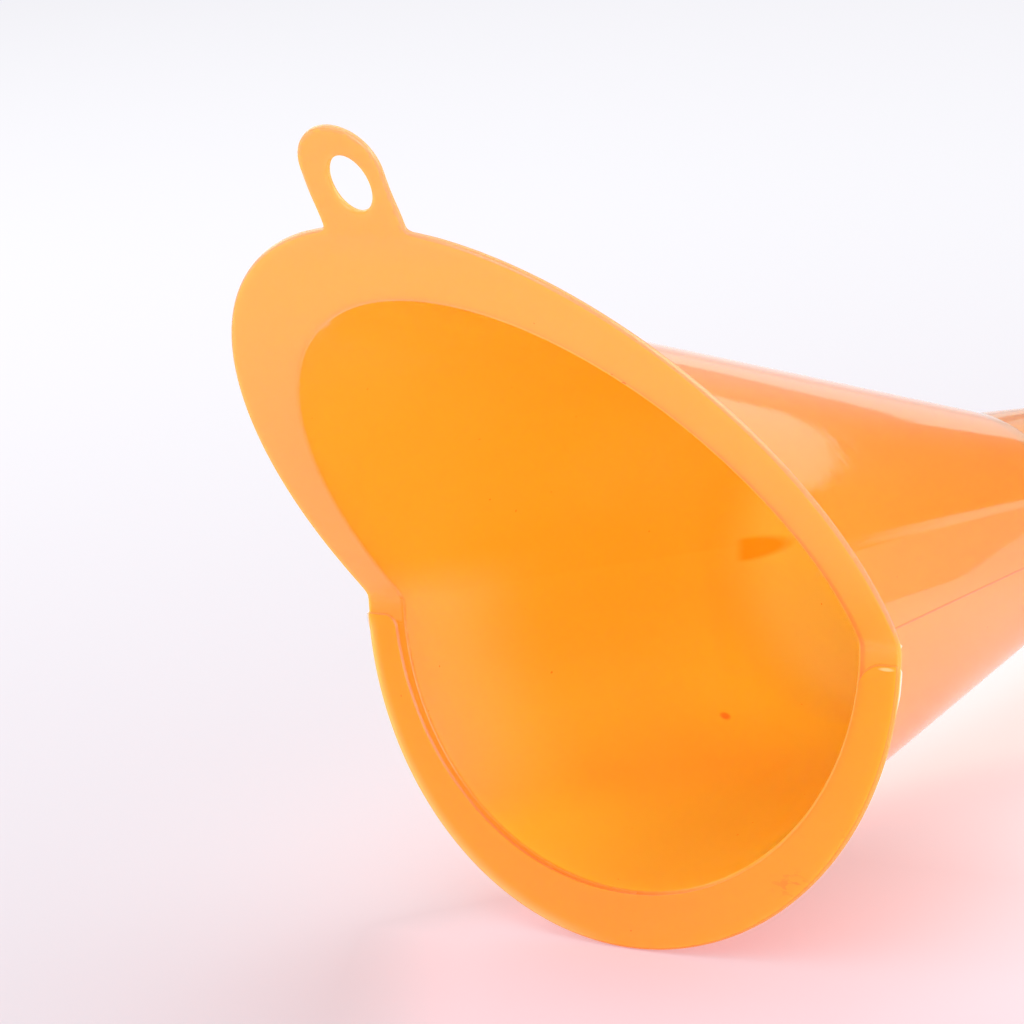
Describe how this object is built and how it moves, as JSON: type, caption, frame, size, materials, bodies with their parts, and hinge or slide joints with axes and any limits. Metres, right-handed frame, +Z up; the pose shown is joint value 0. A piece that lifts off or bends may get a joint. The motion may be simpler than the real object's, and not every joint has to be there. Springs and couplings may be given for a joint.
{
  "type": "long-neck funnel",
  "caption": "Long-neck plastic funnel with a raised splash lip, a hanging tab, a push-on spout and a lift-out strainer.",
  "frame": {"origin": "on the table, under the middle of the lying funnel's box", "axes": "+Z up from the table, +X from the mouth towards the spout's tip, +Y across the mouth. The funnel's own axis dips 8.27 degrees below +X, because it lies on its lower rim and the tip of its spout."},
  "size_m": [0.4148, 0.1208, 0.1666],
  "materials": {
    "orange_plastic": "smooth, slightly see-through moulded plastic",
    "steel_gauze": "fine woven wire"
  },
  "bodies": {
    "funnel_body": {"bowl": "orange_plastic"},
    "spout": {"spout": "orange_plastic"},
    "strainer": {"strainer_frame": "orange_plastic", "strainer_gauze": "steel_gauze"}
  },
  "joints": [
    {"name": "spout_pull", "type": "slide", "parent": "funnel_body", "child": "spout", "axis": [0.9896, 0, -0.1438], "range_m": [0, 0.03]},
    {"name": "strainer_lift", "type": "slide", "parent": "funnel_body", "child": "strainer", "axis": [-0.9896, 0, 0.1438], "range_m": [0, 0.2]}
  ]
}
